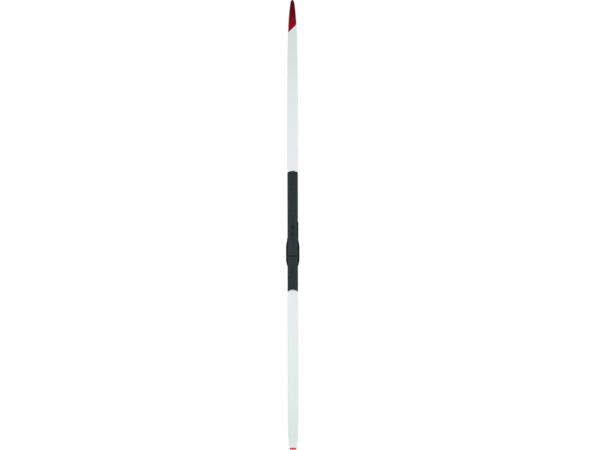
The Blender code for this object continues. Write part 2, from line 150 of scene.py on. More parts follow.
def smooth_through(points):
    """A smooth function through (place, value) points that never overshoots between them."""
    places = [place for place, _ in points]
    values = [value for _, value in points]
    slopes = []
    for i in range(len(points) - 1):
        slopes.append((values[i + 1] - values[i]) / (places[i + 1] - places[i]))
    tangents = [slopes[0]]
    for before, after in zip(slopes, slopes[1:]):
        turns = before * after <= 0
        tangents.append(0.0 if turns else 2 * before * after / (before + after))
    tangents.append(slopes[-1])

    def value_at(place):
        place = min(max(place, places[0]), places[-1])
        i = min(bisect.bisect_right(places, place), len(places) - 1) - 1
        run = places[i + 1] - places[i]
        t = (place - places[i]) / run
        start = values[i] * (1 + 2 * t) * (1 - t) ** 2 + tangents[i] * run * t * (1 - t) ** 2
        end = values[i + 1] * t * t * (3 - 2 * t) - tangents[i + 1] * run * t * t * (1 - t)
        return start + end

    return value_at


def stations_of(node, low=-1.0, high=1.0):
    """The node's vertices grouped by their place along the ski, between low and high."""
    groups = {}
    for vert in frame["nodes"][node].data.vertices:
        place = round(vert.co.y, 5)
        if low <= place <= high:
            groups.setdefault(place, []).append(vert.co)
    return groups


def line_of(groups, measure):
    return [(place, measure(group)) for place, group in sorted(groups.items())]


def widest(group):
    return max(abs(co.x) for co in group)


def lowest(group):
    return min(co.z for co in group)


def highest(group):
    return max(co.z for co in group)


nose_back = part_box("running_base")[1].y + 2 * GAP
tail_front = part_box("running_base")[0].y - 2 * GAP
tail_groups = stations_of("tail_protector", high=tail_front)
nose_groups = stations_of("tip_cover", low=nose_back)
body_groups = stations_of("running_base")
laminate_groups = stations_of("upper_laminate")

half_width = smooth_through(
    line_of(tail_groups, widest) + line_of(body_groups, widest) + line_of(nose_groups, widest)
)
rise = smooth_through(
    line_of(tail_groups, lowest) + line_of(body_groups, lowest) + line_of(nose_groups, lowest)
)
laminate_top = [(y, z + TOPSHEET + GAP) for y, z in line_of(laminate_groups, highest)]
top_height = smooth_through(
    line_of(tail_groups, highest) + laminate_top + line_of(nose_groups, highest)
)
skirt_low = smooth_through(
    [(y, z + GAP) for y, z in line_of(stations_of("sidewall_left"), highest)]
)


def in_groove(co):
    return abs(co.x) < GROOVE_HALF + 0.1 * MM


def groove_height(group):
    """How far the middle of the running surface is pressed up from its edges."""
    return min(co.z for co in group if in_groove(co)) - lowest(group)


def room_for(node):
    """The place along the ski that a let-in node takes, with some room at both ends."""
    low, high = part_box(node)
    return (low.y - LET_IN_ROOM, high.y + LET_IN_ROOM)


grooved_groups = {y: group for y, group in body_groups.items() if any(map(in_groove, group))}
groove_line = smooth_through(line_of(grooved_groups, groove_height))
plate_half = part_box("plate_rear")[1].x
slot_ends = room_for("heel_bumper")
pocket_ends = room_for("position_rack")
strip_ends = room_for("position_strip")


# Mesh building


def spread(start, end, count):
    return [start + (end - start) * i / count for i in range(count + 1)]


def fine_places(start, end, step=FINE_STEP, extra=()):
    """Even places from start to end, with the extra ones in place of any that are close."""
    count = max(2, math.ceil((end - start) / step))
    keep = [start, end, *extra]
    for place in spread(start, end, count):
        if min(abs(place - other) for other in keep) > 0.3 * step:
            keep.append(place)
    return sorted(set(keep))


def smooth_step(t):
    t = min(max(t, 0.0), 1.0)
    return t * t * (3 - 2 * t)


def inside(y, ends, lap):
    """1 between the ends and 0 outside, with a soft edge of this lap."""
    return smooth_step((y - ends[0]) / lap + 0.5) * smooth_step((ends[1] - y) / lap + 0.5)


def edge_places(ends, lap):
    """Places that draw both soft edges of a feature."""
    places = []
    for end in ends:
        places += [end + lap * share for share in (-0.5, -0.25, 0.0, 0.25, 0.5)]
    return places


def rounded(corners, steps=3):
    """A ring of (x, z) points from (x, z, rounding) corners, each drawn as a small arc."""
    ring = []
    for i, (x, z, rounding) in enumerate(corners):
        arms = []
        for other in (corners[i - 1], corners[(i + 1) % len(corners)]):
            run = math.hypot(other[0] - x, other[1] - z)
            reach = min(rounding, 0.45 * run) / max(run, 1e-9)
            arms.append((x + (other[0] - x) * reach, z + (other[1] - z) * reach))
        for u in spread(0.0, 1.0, steps):
            ring.append(
                (
                    (1 - u) ** 2 * arms[0][0] + 2 * u * (1 - u) * x + u * u * arms[1][0],
                    (1 - u) ** 2 * arms[0][1] + 2 * u * (1 - u) * z + u * u * arms[1][1],
                )
            )
    return ring


def mirrored(right):
    """A line's right half, listed from the edge inwards, made whole from left to right."""
    return [(-x, z) for x, z in right] + right[::-1]


def loft(name, section, places, shift=None):
    """A closed body whose cross-section at each place is a ring of (x, z) points."""
    bm = bmesh.new()
    rings = []
    final = []
    for place in places:
        ring = []
        for i, (x, z) in enumerate(section(place)):
            moved = place + shift(place, x) if shift else place
            new_x, new_z = section(moved)[i] if moved != place else (x, z)
            vert = bm.verts.new((x, place, z))
            final.append((vert, (new_x, moved, new_z)))
            ring.append(vert)
        rings.append(ring)
    for near, far in zip(rings, rings[1:]):
        for i in range(len(near)):
            j = (i + 1) % len(near)
            bm.faces.new((near[i], near[j], far[j], far[i]))
    caps = [bm.faces.new(rings[0][::-1]), bm.faces.new(rings[-1])]
    for cap in caps:
        cap.normal_update()
    bmesh.ops.triangulate(bm, faces=caps, ngon_method="BEAUTY")
    for vert, co in final:
        vert.co = co
    bmesh.ops.dissolve_degenerate(bm, dist=1e-6, edges=bm.edges)
    bmesh.ops.recalc_face_normals(bm, faces=bm.faces)
    mesh = bpy.data.meshes.new(name)
    bm.to_mesh(mesh)
    bm.free()
    across = mesh.attributes.new("across", "FLOAT", "POINT")
    for vert, entry in zip(mesh.vertices, across.data):
        entry.value = min(abs(vert.co.x) / max(half_width(vert.co.y), MM), 1.0)
    mesh.shade_smooth()
    mesh.set_sharp_from_angle(angle=SHARP_ANGLE)
    piece = bpy.data.objects.new(name, mesh)
    bpy.context.scene.collection.objects.link(piece)
    return piece


def stand_for(piece, node, finish):
    """The piece rides on the ski, hides its CAD node and takes the node's finish."""
    piece.data.materials.append(finish)
    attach(piece, "root")
    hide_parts(node)


SLOTS = {part["node"]: part["material_slot"] for part in frame["record"]["subparts"]}


# Materials


def paint(red, green, blue):
    """A colour as it is picked on a screen, 0 to 255, in the linear values that shaders take."""
    return tuple(((value / 255 + 0.055) / 1.055) ** 2.4 for value in (red, green, blue))


# White of the topsheet along the ski: a slight tint that shifts along it, and painted shade that
# darkens it towards the tip, where the shovel curls up to the seam.
WHITE_TINT_AND_SHADE_ALONG = [
    (-942 * MM, paint(223, 235, 231)),
    (-740 * MM, paint(228, 239, 236)),
    (-520 * MM, paint(226, 236, 233)),
    (-280 * MM, paint(222, 228, 229)),
    (260 * MM, paint(223, 227, 232)),
    (500 * MM, paint(219, 229, 230)),
    (600 * MM, paint(219, 230, 227)),
    (760 * MM, paint(212, 225, 221)),
    (840 * MM, paint(207, 221, 217)),
]
# Red of the tip cover along the ski, with painted shade that darkens it towards the nose, where the
# tip curls up.
RED_AND_SHADE_ALONG = [
    (815 * MM, paint(143, 11, 32)),
    (862 * MM, paint(127, 8, 27)),
    (892 * MM, paint(96, 2, 17)),
    (915 * MM, paint(85, 1, 16)),
    (932 * MM, paint(82, 3, 26)),
    (950 * MM, paint(52, 2, 24)),
]
GREY_ALONG = [
    (-278 * MM, paint(33, 45, 47)),
    (-168 * MM, paint(33, 45, 47)),
    (-160 * MM, paint(37, 49, 52)),
    (-40 * MM, paint(36, 48, 52)),
    (80 * MM, paint(35, 47, 50)),
    (229 * MM, paint(31, 42, 44)),
]


NOISE_ROUGHNESS = 0.55
MIX_FIRST, MIX_SECOND, MIX_RESULT = 6, 7, 2
REMAP_SOCKETS = slice(1, 5)


class Finish:
    """A Principled material under construction, with its coordinates in metres on the object."""

    def __init__(self, name, colour, roughness, specular=0.5):
        self.material = bpy.data.materials.new(name)
        self.material.use_nodes = True
        self.tree = self.material.node_tree
        self.shader = self.tree.nodes["Principled BSDF"]
        self.shader.inputs["Base Color"].default_value = (*colour, 1.0)
        self.shader.inputs["Roughness"].default_value = roughness
        self.shader.inputs["Specular IOR Level"].default_value = specular
        self.where = self.tree.nodes.new("ShaderNodeTexCoord").outputs["Object"]
        self.last_bump = None

    def link(self, output, socket):
        self.tree.links.new(output, socket)

    def stretched(self, scale):
        """The object's coordinates scaled by (x, y, z), so a low value draws detail out."""
        node = self.tree.nodes.new("ShaderNodeMapping")
        node.inputs["Scale"].default_value = scale
        self.link(self.where, node.inputs["Vector"])
        return node.outputs["Vector"]

    def noise(self, scale, detail=3.0):
        node = self.tree.nodes.new("ShaderNodeTexNoise")
        node.inputs["Scale"].default_value = 1.0
        node.inputs["Detail"].default_value = detail
        node.inputs["Roughness"].default_value = NOISE_ROUGHNESS
        self.link(self.stretched(scale), node.inputs["Vector"])
        return node.outputs["Fac"]

    def cells(self, scale):
        node = self.tree.nodes.new("ShaderNodeTexVoronoi")
        node.inputs["Scale"].default_value = 1.0
        self.link(self.stretched(scale), node.inputs["Vector"])
        return node

    def bands(self, scale, direction="X"):
        node = self.tree.nodes.new("ShaderNodeTexWave")
        node.bands_direction = direction
        node.inputs["Scale"].default_value = 1.0
        self.link(self.stretched(scale), node.inputs["Vector"])
        return node.outputs["Fac"]

    def axis(self, letter):
        node = self.tree.nodes.new("ShaderNodeSeparateXYZ")
        self.link(self.where, node.inputs["Vector"])
        return node.outputs[letter]

    def math(self, operation, first, second=None):
        node = self.tree.nodes.new("ShaderNodeMath")
        node.operation = operation
        for socket, value in zip(node.inputs, (first, second)):
            if value is None:
                continue
            if isinstance(value, (int, float)):
                socket.default_value = value
            else:
                self.link(value, socket)
        return node.outputs["Value"]

    def remap(self, value, low, high, to_low=0.0, to_high=1.0):
        """value brought from low..high to to_low..to_high, smoothly and held at the ends."""
        node = self.tree.nodes.new("ShaderNodeMapRange")
        node.interpolation_type = "SMOOTHSTEP"
        for socket, number in zip(node.inputs[REMAP_SOCKETS], (low, high, to_low, to_high)):
            socket.default_value = number
        self.link(value, node.inputs["Value"])
        return node.outputs["Result"]

    def share(self, value, low, high):
        """value brought from low..high to 0..1 in a straight line, held at the ends."""
        node = self.tree.nodes.new("ShaderNodeMapRange")
        node.inputs["From Min"].default_value = low
        node.inputs["From Max"].default_value = high
        self.link(value, node.inputs["Value"])
        return node.outputs["Result"]

    def across(self):
        """0 on the ski's centre line and 1 at its edge, as the fine meshes store it."""
        node = self.tree.nodes.new("ShaderNodeAttribute")
        node.attribute_name = "across"
        return node.outputs["Fac"]

    def seam_place(self):
        """Place along the ski, slanted so that the diagonal seam is at one value of it."""
        slanted = self.math("MULTIPLY", self.axis("X"), SEAM_SLOPE)
        return self.math("SUBTRACT", self.axis("Y"), slanted)

    def ramp(self, value, stops):
        node = self.tree.nodes.new("ShaderNodeValToRGB")
        points = node.color_ramp.elements
        while len(points) < len(stops):
            points.new(0.5)
        for point, (place, colour) in zip(points, stops):
            point.position = place
            point.color = (*colour, 1.0)
        self.link(value, node.inputs["Fac"])
        return node.outputs["Color"]

    def blend(self, share, first, second):
        """first turned into second by share; either can be a colour or an output."""
        node = self.tree.nodes.new("ShaderNodeMix")
        node.data_type = "RGBA"
        self.link(share, node.inputs["Factor"])
        sockets = (node.inputs[MIX_FIRST], node.inputs[MIX_SECOND])
        for socket, value in zip(sockets, (first, second)):
            if isinstance(value, tuple):
                socket.default_value = (*value, 1.0)
            else:
                self.link(value, socket)
        return node.outputs[MIX_RESULT]

    def colour(self, output):
        self.link(output, self.shader.inputs["Base Color"])

    def roughness(self, value, low, high):
        """Roughness between low and high as value goes from 0.3 to 0.7."""
        self.link(self.remap(value, 0.3, 0.7, low, high), self.shader.inputs["Roughness"])

    def bump(self, height, depth):
        """Relief of this depth in metres, on top of any that was there before."""
        node = self.tree.nodes.new("ShaderNodeBump")
        node.inputs["Distance"].default_value = depth
        node.inputs["Strength"].default_value = 1.0
        self.link(height, node.inputs["Height"])
        if self.last_bump:
            self.link(self.last_bump, node.inputs["Normal"])
        self.last_bump = node.outputs["Normal"]
        self.link(self.last_bump, self.shader.inputs["Normal"])

    def coat(self, weight, roughness):
        self.shader.inputs["Coat Weight"].default_value = weight
        self.shader.inputs["Coat Roughness"].default_value = roughness


def dimmed(colour, share):
    return tuple(value * share for value in colour)


def along_ski(finish, stops):
    """A colour ramp by place along the ski, through (place, colour) stops."""
    low, high = stops[0][0], stops[-1][0]
    place = finish.share(finish.axis("Y"), low, high)
    return finish.ramp(place, [((y - low) / (high - low), colour) for y, colour in stops])


def lengthwise_streaks(finish, fineness, length):
    """Streaks this many to the metre across the ski, and this long in metres."""
    return finish.noise((fineness, 1 / length, fineness), detail=2.0)


def white_lacquer():
    finish = Finish("white_lacquer", (0.76, 0.8, 0.8), 0.3)
    # Painted shade: the white darkens along the ski towards the curled tip.
    body = along_ski(finish, WHITE_TINT_AND_SHADE_ALONG)
    flake = finish.cells((2600, 2600, 2600)).outputs["Color"]
    body = finish.blend(finish.math("MULTIPLY", flake, 0.05), body, (1.0, 1.0, 1.0))
    cloud = finish.noise((14, 3, 14), detail=4.0)
    body = finish.blend(finish.remap(cloud, 0.35, 0.75, 0.0, 0.06), body, paint(190, 202, 206))
    scuffs = lengthwise_streaks(finish, 900, 0.09)
    near_edge = finish.remap(finish.across(), 0.8, 1.0)
    rubbed = finish.math("MULTIPLY", finish.remap(scuffs, 0.6, 0.72), near_edge)
    body = finish.blend(finish.math("MULTIPLY", rubbed, 0.5), body, paint(168, 176, 178))
    # Painted shade: the outer edge of the topsheet, over its rounded shoulders, is greyed.
    shoulder_shade = finish.remap(finish.across(), 0.9, 1.0, 0.0, 0.55)
    body = finish.blend(shoulder_shade, body, paint(176, 186, 187))
    seam = finish.seam_place()
    line_starts = finish.remap(seam, *[SEAM_Y + offset for offset in SEAM_LINE_NEAR])
    line_ends = finish.remap(seam, *[SEAM_Y + offset for offset in SEAM_LINE_FAR], 1.0, 0.0)
    line = finish.math("MULTIPLY", line_starts, line_ends)
    finish.colour(finish.blend(line, body, paint(224, 236, 232)))
    finish.roughness(cloud, 0.2, 0.28)
    finish.bump(finish.noise((260, 90, 260), detail=2.0), 0.012 * MM)
    finish.bump(finish.remap(scuffs, 0.68, 0.74), 0.004 * MM)
    finish.coat(0.5, 0.06)
    return finish.material


def red_lacquer():
    finish = Finish("red_lacquer", (0.26, 0.005, 0.014), 0.3, 0.35)
    # Painted shade: the red darkens towards the curled nose.
    body = along_ski(finish, RED_AND_SHADE_ALONG)
    # Painted shade: the tip cover darkens towards its rounded side edges.
    near_edge = finish.remap(finish.across(), 0.55, 1.0, 0.0, 0.55)
    body = finish.blend(near_edge, body, paint(58, 4, 20))
    flake = finish.cells((2600, 2600, 2600)).outputs["Color"]
    body = finish.blend(finish.math("MULTIPLY", flake, 0.06), body, paint(160, 22, 44))
    scuffs = lengthwise_streaks(finish, 800, 0.05)
    rubbed = finish.remap(scuffs, 0.68, 0.8, 0.0, 0.3)
    finish.colour(finish.blend(rubbed, body, paint(128, 34, 48)))
    finish.roughness(scuffs, 0.12, 0.26)
    finish.bump(finish.noise((260, 120, 260), detail=2.0), 0.012 * MM)
    finish.coat(0.25, 0.05)
    return finish.material


def red_plastic():
    finish = Finish("red_plastic", (0.52, 0.02, 0.04), 0.42, 0.4)
    mottle = finish.noise((420, 420, 420), detail=3.0)
    body = finish.ramp(mottle, [(0.3, paint(208, 40, 66)), (0.75, paint(228, 56, 84))])
    chips = finish.noise((900, 900, 900), detail=2.0)
    chipped = finish.remap(chips, 0.68, 0.76, 0.0, 0.6)
    finish.colour(finish.blend(chipped, body, paint(128, 16, 34)))
    finish.roughness(mottle, 0.36, 0.52)
    finish.bump(finish.noise((3200, 3200, 3200)), 0.02 * MM)
    return finish.material


def grey_plastic():
    """The plates: dark blue-grey, rail tops rubbed lighter; painted shade darkens the flanges and the
    channel, and painted light lifts the channel's floor.
    """
    finish = Finish("grey_plastic", (0.03, 0.041, 0.043), 0.5, 0.2)
    body = along_ski(finish, GREY_ALONG)
    speckle = finish.cells((1900, 1900, 1900)).outputs["Distance"]
    specks = finish.remap(speckle, 0.1, 0.9, 0.0, 0.25)
    body = finish.blend(specks, body, paint(24, 32, 34))
    side = finish.math("ABSOLUTE", finish.axis("X"))
    # Painted shade: the low flanges beside and under the rail heads are darker.
    flange = finish.remap(side, RAIL_HEAD - 0.5 * MM, RAIL_HEAD + 0.3 * MM)
    body = finish.blend(finish.math("MULTIPLY", flange, 0.5), body, paint(20, 27, 29))
    # Painted shade: the channel between the rails and the rails' inner edges are darker.
    channel = finish.remap(side, CHANNEL_HALF + 0.6 * MM, CHANNEL_HALF + 2.0 * MM, 1.0, 0.0)
    body = finish.blend(finish.math("MULTIPLY", channel, 0.35), body, paint(20, 28, 31))
    # Painted light: the middle of the channel floor is lifted lighter.
    floor = finish.remap(side, 1.8 * MM, 3.4 * MM, 0.5, 0.0)
    body = finish.blend(floor, body, paint(46, 62, 67))
    scuffs = lengthwise_streaks(finish, 1400, 0.03)
    rubbed = finish.remap(scuffs, 0.55, 0.75, 0.0, 0.3)
    off_flange = finish.math("SUBTRACT", 1.0, flange)
    off_channel = finish.math("SUBTRACT", 1.0, channel)
    rail = finish.math("MULTIPLY", off_flange, off_channel)
    body = finish.blend(finish.math("MULTIPLY", rubbed, rail), body, paint(70, 82, 86))
    finish.colour(body)
    grain = finish.noise((4200, 4200, 4200), detail=2.0)
    finish.roughness(grain, 0.36, 0.5)
    finish.bump(grain, 0.03 * MM)
    return finish.material


def black_plastic():
    finish = Finish("black_plastic", (0.006, 0.0065, 0.007), 0.55, 0.15)
    grain = finish.noise((3600, 3600, 3600), detail=2.0)
    body = finish.ramp(grain, [(0.3, paint(8, 9, 10)), (0.8, paint(15, 17, 18))])
    dust = finish.noise((160, 60, 160), detail=4.0)
    dusty = finish.remap(dust, 0.6, 0.8, 0.0, 0.2)
    finish.colour(finish.blend(dusty, body, paint(34, 37, 39)))
    finish.roughness(dust, 0.48, 0.66)
    finish.bump(grain, 0.04 * MM)
    return finish.material


def black_rubber():
    finish = Finish("black_rubber", (0.01, 0.01, 0.011), 0.75, 0.2)
    speckle = finish.noise((2400, 2400, 2400), detail=4.0)
    finish.colour(finish.ramp(speckle, [(0.3, paint(18, 18, 19)), (0.8, paint(36, 36, 37))]))
    finish.roughness(speckle, 0.66, 0.86)
    finish.bump(speckle, 0.05 * MM)
    return finish.material


def graphite_base():
    """Stone-ground running surface: fine lengthwise structure with a waxed sheen."""
    finish = Finish("graphite_base", (0.015, 0.015, 0.017), 0.4)
    structure = lengthwise_streaks(finish, 2600, 0.12)
    cross = finish.noise((1400, 500, 1400), detail=2.0)
    body = finish.ramp(structure, [(0.3, paint(22, 22, 24)), (0.7, paint(46, 46, 49))])
    wax = finish.noise((60, 9, 60), detail=4.0)
    waxed = finish.remap(wax, 0.5, 0.75, 0.0, 0.35)
    finish.colour(finish.blend(waxed, body, paint(70, 70, 72)))
    finish.roughness(wax, 0.26, 0.48)
    finish.bump(structure, 0.04 * MM)
    finish.bump(cross, 0.015 * MM)
    return finish.material


def sidewall_plastic():
    finish = Finish("sidewall_plastic", (0.6, 0.63, 0.63), 0.45)
    milled = lengthwise_streaks(finish, 2200, 0.2)
    body = finish.ramp(milled, [(0.3, paint(196, 202, 202)), (0.7, paint(216, 221, 220))])
    grime = finish.noise((90, 22, 300), detail=4.0)
    grimy = finish.remap(grime, 0.56, 0.75, 0.0, 0.5)
    finish.colour(finish.blend(grimy, body, paint(148, 150, 146)))
    finish.roughness(milled, 0.36, 0.55)
    finish.bump(milled, 0.02 * MM)
    return finish.material


def woven(name, dark, light, tows, roughness):
    """A laminate whose tows cross at right angles, this many to the metre."""
    finish = Finish(name, light, roughness)
    warp = finish.bands((tows, tows, tows), "X")
    weft = finish.bands((tows, tows, tows), "Y")
    over = finish.math("GREATER_THAN", warp, weft)
    fibre = lengthwise_streaks(finish, 5200, 0.02)
    body = finish.blend(over, dark, light)
    shaded = finish.remap(fibre, 0.3, 0.8, 0.0, 0.35)
    finish.colour(finish.blend(shaded, body, dimmed(dark, 0.6)))
    finish.roughness(fibre, roughness - 0.08, roughness + 0.1)
    finish.bump(finish.math("MAXIMUM", warp, weft), 0.04 * MM)
    finish.coat(0.6, 0.12)
    return finish.material


def light_wood():
    finish = Finish("light_wood", (0.62, 0.47, 0.29), 0.62)
    warp = finish.noise((30, 2.2, 30), detail=4.0)
    rings = finish.bands((240, 1.5, 240), "DIAGONAL")
    grain = finish.math(
        "ADD", finish.math("MULTIPLY", rings, 0.6), finish.math("MULTIPLY", warp, 0.5)
    )
    early, middle, late = paint(206, 172, 122), paint(226, 197, 150), paint(184, 144, 94)
    body = finish.ramp(grain, [(0.2, early), (0.6, middle), (0.9, late)])
    pores = finish.noise((3000, 60, 3000), detail=2.0)
    pitted = finish.remap(pores, 0.62, 0.72, 0.0, 0.5)
    finish.colour(finish.blend(pitted, body, paint(150, 112, 72)))
    finish.roughness(pores, 0.55, 0.75)
    finish.bump(pores, 0.03 * MM)
    return finish.material


def core_foam():
    finish = Finish("core_foam", (0.7, 0.62, 0.42), 0.85)
    cells = finish.cells((1600, 1600, 1600)).outputs["Distance"]
    finish.colour(finish.ramp(cells, [(0.1, paint(198, 182, 132)), (0.8, paint(232, 220, 178))]))
    finish.roughness(cells, 0.75, 0.92)
    finish.bump(cells, 0.12 * MM)
    return finish.material


FINISHES = {
    "white_lacquer": white_lacquer(),
    "red_lacquer": red_lacquer(),
    "red_plastic": red_plastic(),
    "grey_plastic": grey_plastic(),
    "black_plastic": black_plastic(),
    "black_rubber": black_rubber(),
    "graphite_base": graphite_base(),
    "sidewall_plastic": sidewall_plastic(),
    "carbon_laminate": woven("carbon_laminate", paint(20, 21, 23), paint(58, 60, 64), 500, 0.34),
    "glass_laminate": woven("glass_laminate", paint(150, 156, 136), paint(190, 196, 174), 700, 0.4),
    "light_wood": light_wood(),
    "core_foam": core_foam(),
}


# Fine pieces of the ski's body


def cap_line(y, inset):
    """The line over the ski's top and shoulders, this far inside its outer surface."""
    half = half_width(y) - inset
    top = top_height(y) - inset
    radius = min(SHOULDER_RADIUS - inset, 0.8 * half)
    right = [(half, skirt_low(y))]
    for turn in spread(0.0, math.pi / 2, SHOULDER_STEPS):
        x = half - radius + radius * math.cos(turn)
        right.append((x, top - radius + radius * math.sin(turn)))
    for share in TOP_SHARES:
        right.append((share * (half - radius), top))
    return mirrored(right)


def rolled(along, depth):
    """How far a rounded end has rolled in, with along from 0 at its start to 1 at the very end."""
    along = min(max(along, 0.0), 1.0)
    return depth * (1 - math.sqrt(1 - ROLL_SHARE * along * along))


def seam_slant(y, x):
    """How far a point slides along the ski so that sections near the seam run along it."""
    near = max(0.0, 1 - abs(y - SEAM_Y) / SEAM_FADE)
    return SEAM_SLOPE * near * x


def topsheet_shell():
    """The white cap of the ski, from the tail to the diagonal seam, with a rolled lower lip."""

    def section(y):
        lip = 0.3 * MM
        outer = cap_line(y, 0.0)
        inner = cap_line(y, TOPSHEET)
        low = skirt_low(y)
        half = half_width(y)
        outer[0], outer[-1] = (-half, low + lip), (half, low + lip)
        left_lip = [(lip - half, low)]
        right_lip = [(half - lip, low)]
        return left_lip + outer + right_lip + inner[::-1]

    low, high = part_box("topsheet")[0].y, SEAM_Y - GAP
    shell = loft("topsheet_shell", section, fine_places(low, high), seam_slant)
    stand_for(shell, "topsheet", FINISHES["white_lacquer"])


def tip_shell():
    """The red cover of the tip: a cap from the seam, closed by a rounded solid nose."""
    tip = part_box("tip_cover")[1].y

    def roll(y):
        return rolled((y - tip + NOSE_ROLL) / NOSE_ROLL, NOSE_ROLL_DEPTH)

    def section(y):
        outer = [(x, z - roll(y)) for x, z in cap_line(y, 0.0)]
        inner = cap_line(y, TOPSHEET)
        if y > nose_back:
            floor = rise(y) + roll(y)
            inner = [(x, floor) for x, _ in inner]
            outer[0] = (outer[0][0], floor + 0.4 * MM)
            outer[-1] = (outer[-1][0], floor + 0.4 * MM)
        return outer + inner[::-1]

    places = fine_places(SEAM_Y + GAP, nose_back, 3 * MM)
    nose = [nose_back + 0.1 * MM]
    for turn in spread(0.0, math.pi / 2, 24):
        nose.append(nose_back + 0.4 * MM + (tip - nose_back - 0.4 * MM) * math.sin(turn))
    shell = loft("tip_shell", section, places + nose, seam_slant)
    stand_for(shell, "tip_cover", FINISHES["red_lacquer"])


def base_sheet():
    """The running surface, bevelled along its edges and pressed up into the tracking groove."""

    def section(y):
        half = half_width(y)
        low = rise(y)
        bump = groove_line(y)
        inner, outer = GROOVE_HALF, GROOVE_HALF + GROOVE_SLOPE
        under = [(half, low, 0.35 * MM), (outer, low, 0.5 * MM), (inner, low + bump, 0.5 * MM)]
        over = [(half, low + BASE_SHEET, 0.1 * MM)]
        over += [(outer, low + BASE_SHEET, 0.5 * MM), (inner, low + BASE_SHEET + bump, 0.5 * MM)]
        corners = [(-x, z, r) for x, z, r in under] + under[::-1]
        corners += over + [(-x, z, r) for x, z, r in over[::-1]]
        return rounded(corners, 3)

    low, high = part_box("running_base")[0].y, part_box("running_base")[1].y
    sheet = loft("base_sheet", section, fine_places(low, high))
    stand_for(sheet, "running_base", FINISHES["graphite_base"])


def tail_block():
    """The red block that closes the tail, rounded off behind, with its tongue in the ski."""
    low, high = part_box("tail_protector")[0].y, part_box("tail_protector")[1].y

    def section(y):
        if y < tail_front + 0.05 * MM:
            roll = rolled((low + TAIL_ROLL - y) / TAIL_ROLL, TAIL_ROLL_DEPTH)
            half = half_width(y) - 1.2 * roll
            floor, top = rise(y) + roll, top_height(y) - roll
            corner = (top - floor) * 0.35
            corners = [(-half, floor, 0.5 * MM), (half, floor, 0.5 * MM)]
            corners += [(half, top, corner), (-half, top, corner)]
            return rounded(corners, 6)
        half = half_width(y) - TONGUE_INSET
        floor, top = rise(y) + TONGUE_FLOOR, top_height(y) - TONGUE_TOP
        corners = [(-half, floor, 0.2 * MM), (half, floor, 0.2 * MM)]
        return rounded(corners + [(half, top, 0.2 * MM), (-half, top, 0.2 * MM)], 6)

    places = [low]
    for turn in spread(0.0, math.pi / 2, 10)[1:]:
        places.append(low + TAIL_ROLL * (1 - math.cos(turn)))
    places += [tail_front - 2 * MM, tail_front, tail_front + 0.1 * MM, high]
    block = loft("tail_block", section, places)
    stand_for(block, "tail_protector", FINISHES["red_plastic"])


# Fine pieces of the plate


def node_line(node, measure):
    return smooth_through(line_of(stations_of(node), measure))


def plate_corners(height, channel_half, channel_floor, flange):
    """Corners of half the plate's section, from the flange's lower edge in to the channel."""
    head_low = min(RAIL_HEAD_LOW, height - 1.0 * MM)
    head = RAIL_HEAD if height > RAIL_HEAD_LOW + 0.5 * MM else RAIL_NECK + 0.4 * MM
    corners = [(plate_half, 0.0, 0.15 * MM), (plate_half, flange, 0.6 * MM)]
    corners += [(RAIL_NECK, flange, 0.5 * MM), (RAIL_NECK, head_low - 0.2 * MM, 0.15 * MM)]
    corners += [(head, head_low, 0.3 * MM), (head, height, 0.8 * MM)]
    for share in TOP_SHARES:
        corners.append((channel_half + share * (head - channel_half), height, 0.5 * MM))
    corners += [(channel_half, height, 0.6 * MM), (channel_half, channel_floor, 0.4 * MM)]
    return corners


def plate_ring(y, height, channel_half, channel_floor, right_flange=FLANGE):
    """The plate's whole section at its height on the ski, hollowed a little underneath."""
    right = plate_corners(height, channel_half, channel_floor, right_flange)
    left = plate_corners(height, channel_half, channel_floor, FLANGE)
    corners = [(-x, z, r) for x, z, r in left] + right[::-1]
    for x in HOLLOW_UNDER:
        corners.append((x, HOLLOW_RISE, 1.0 * MM))
    lift = top_height(y) + PLATE_LIFT
    return [(x, z + lift) for x, z in rounded(corners, 2)]


def front_plate_body():
    """The long front plate: rails, channel, lock pocket, bumper slot and seat for the strip."""
    low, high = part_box("plate_front")[0].y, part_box("plate_front")[1].y
    rounded_from = high - PLATE_NOSE

    def section(y):
        height = RAIL_HEIGHT - (RAIL_HEIGHT - SLOT_FLOOR) * inside(y, slot_ends, EDGE_LAP)
        height -= NOSE_DROP * smooth_step((y - rounded_from + NOSE_CHAMFER) / NOSE_CHAMFER)
        pocket = inside(y, pocket_ends, EDGE_LAP)
        half = CHANNEL_HALF + (POCKET_HALF - CHANNEL_HALF) * pocket
        floor = CHANNEL_FLOOR + (POCKET_FLOOR - CHANNEL_FLOOR) * pocket
        seat = FLANGE + (STRIP_SEAT - FLANGE) * inside(y, strip_ends, EDGE_LAP)
        return plate_ring(y, height, half, floor, seat)

    def rounded_front(y, x):
        near = max(0.0, 1 - (rounded_from - y) / (2 * NOSE_CHAMFER))
        return near * PLATE_NOSE * (1 - (x / plate_half) ** 2)

    steps = []
    for ends in (slot_ends, pocket_ends, strip_ends):
        steps += edge_places(ends, EDGE_LAP)
    places = fine_places(low, rounded_from, 4 * MM, steps)
    body = loft("front_plate_body", section, places, rounded_front)
    stand_for(body, "plate_front", FINISHES["grey_plastic"])


def rear_plate_body():
    """The short rear plate, notched where the topsheet rises behind it."""
    low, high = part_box("plate_rear")[0].y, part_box("plate_rear")[1].y

    def section(y):
        return plate_ring(y, RAIL_HEIGHT, CHANNEL_HALF, CHANNEL_FLOOR)

    def notched_rear(y, x):
        near = max(0.0, 1 - (y - low) / (3 * PLATE_NOTCH))
        return near * PLATE_NOTCH * (1 - (x / plate_half) ** 2)

    body = loft("rear_plate_body", section, fine_places(low, high, 3 * MM), notched_rear)
    stand_for(body, "plate_rear", FINISHES["grey_plastic"])


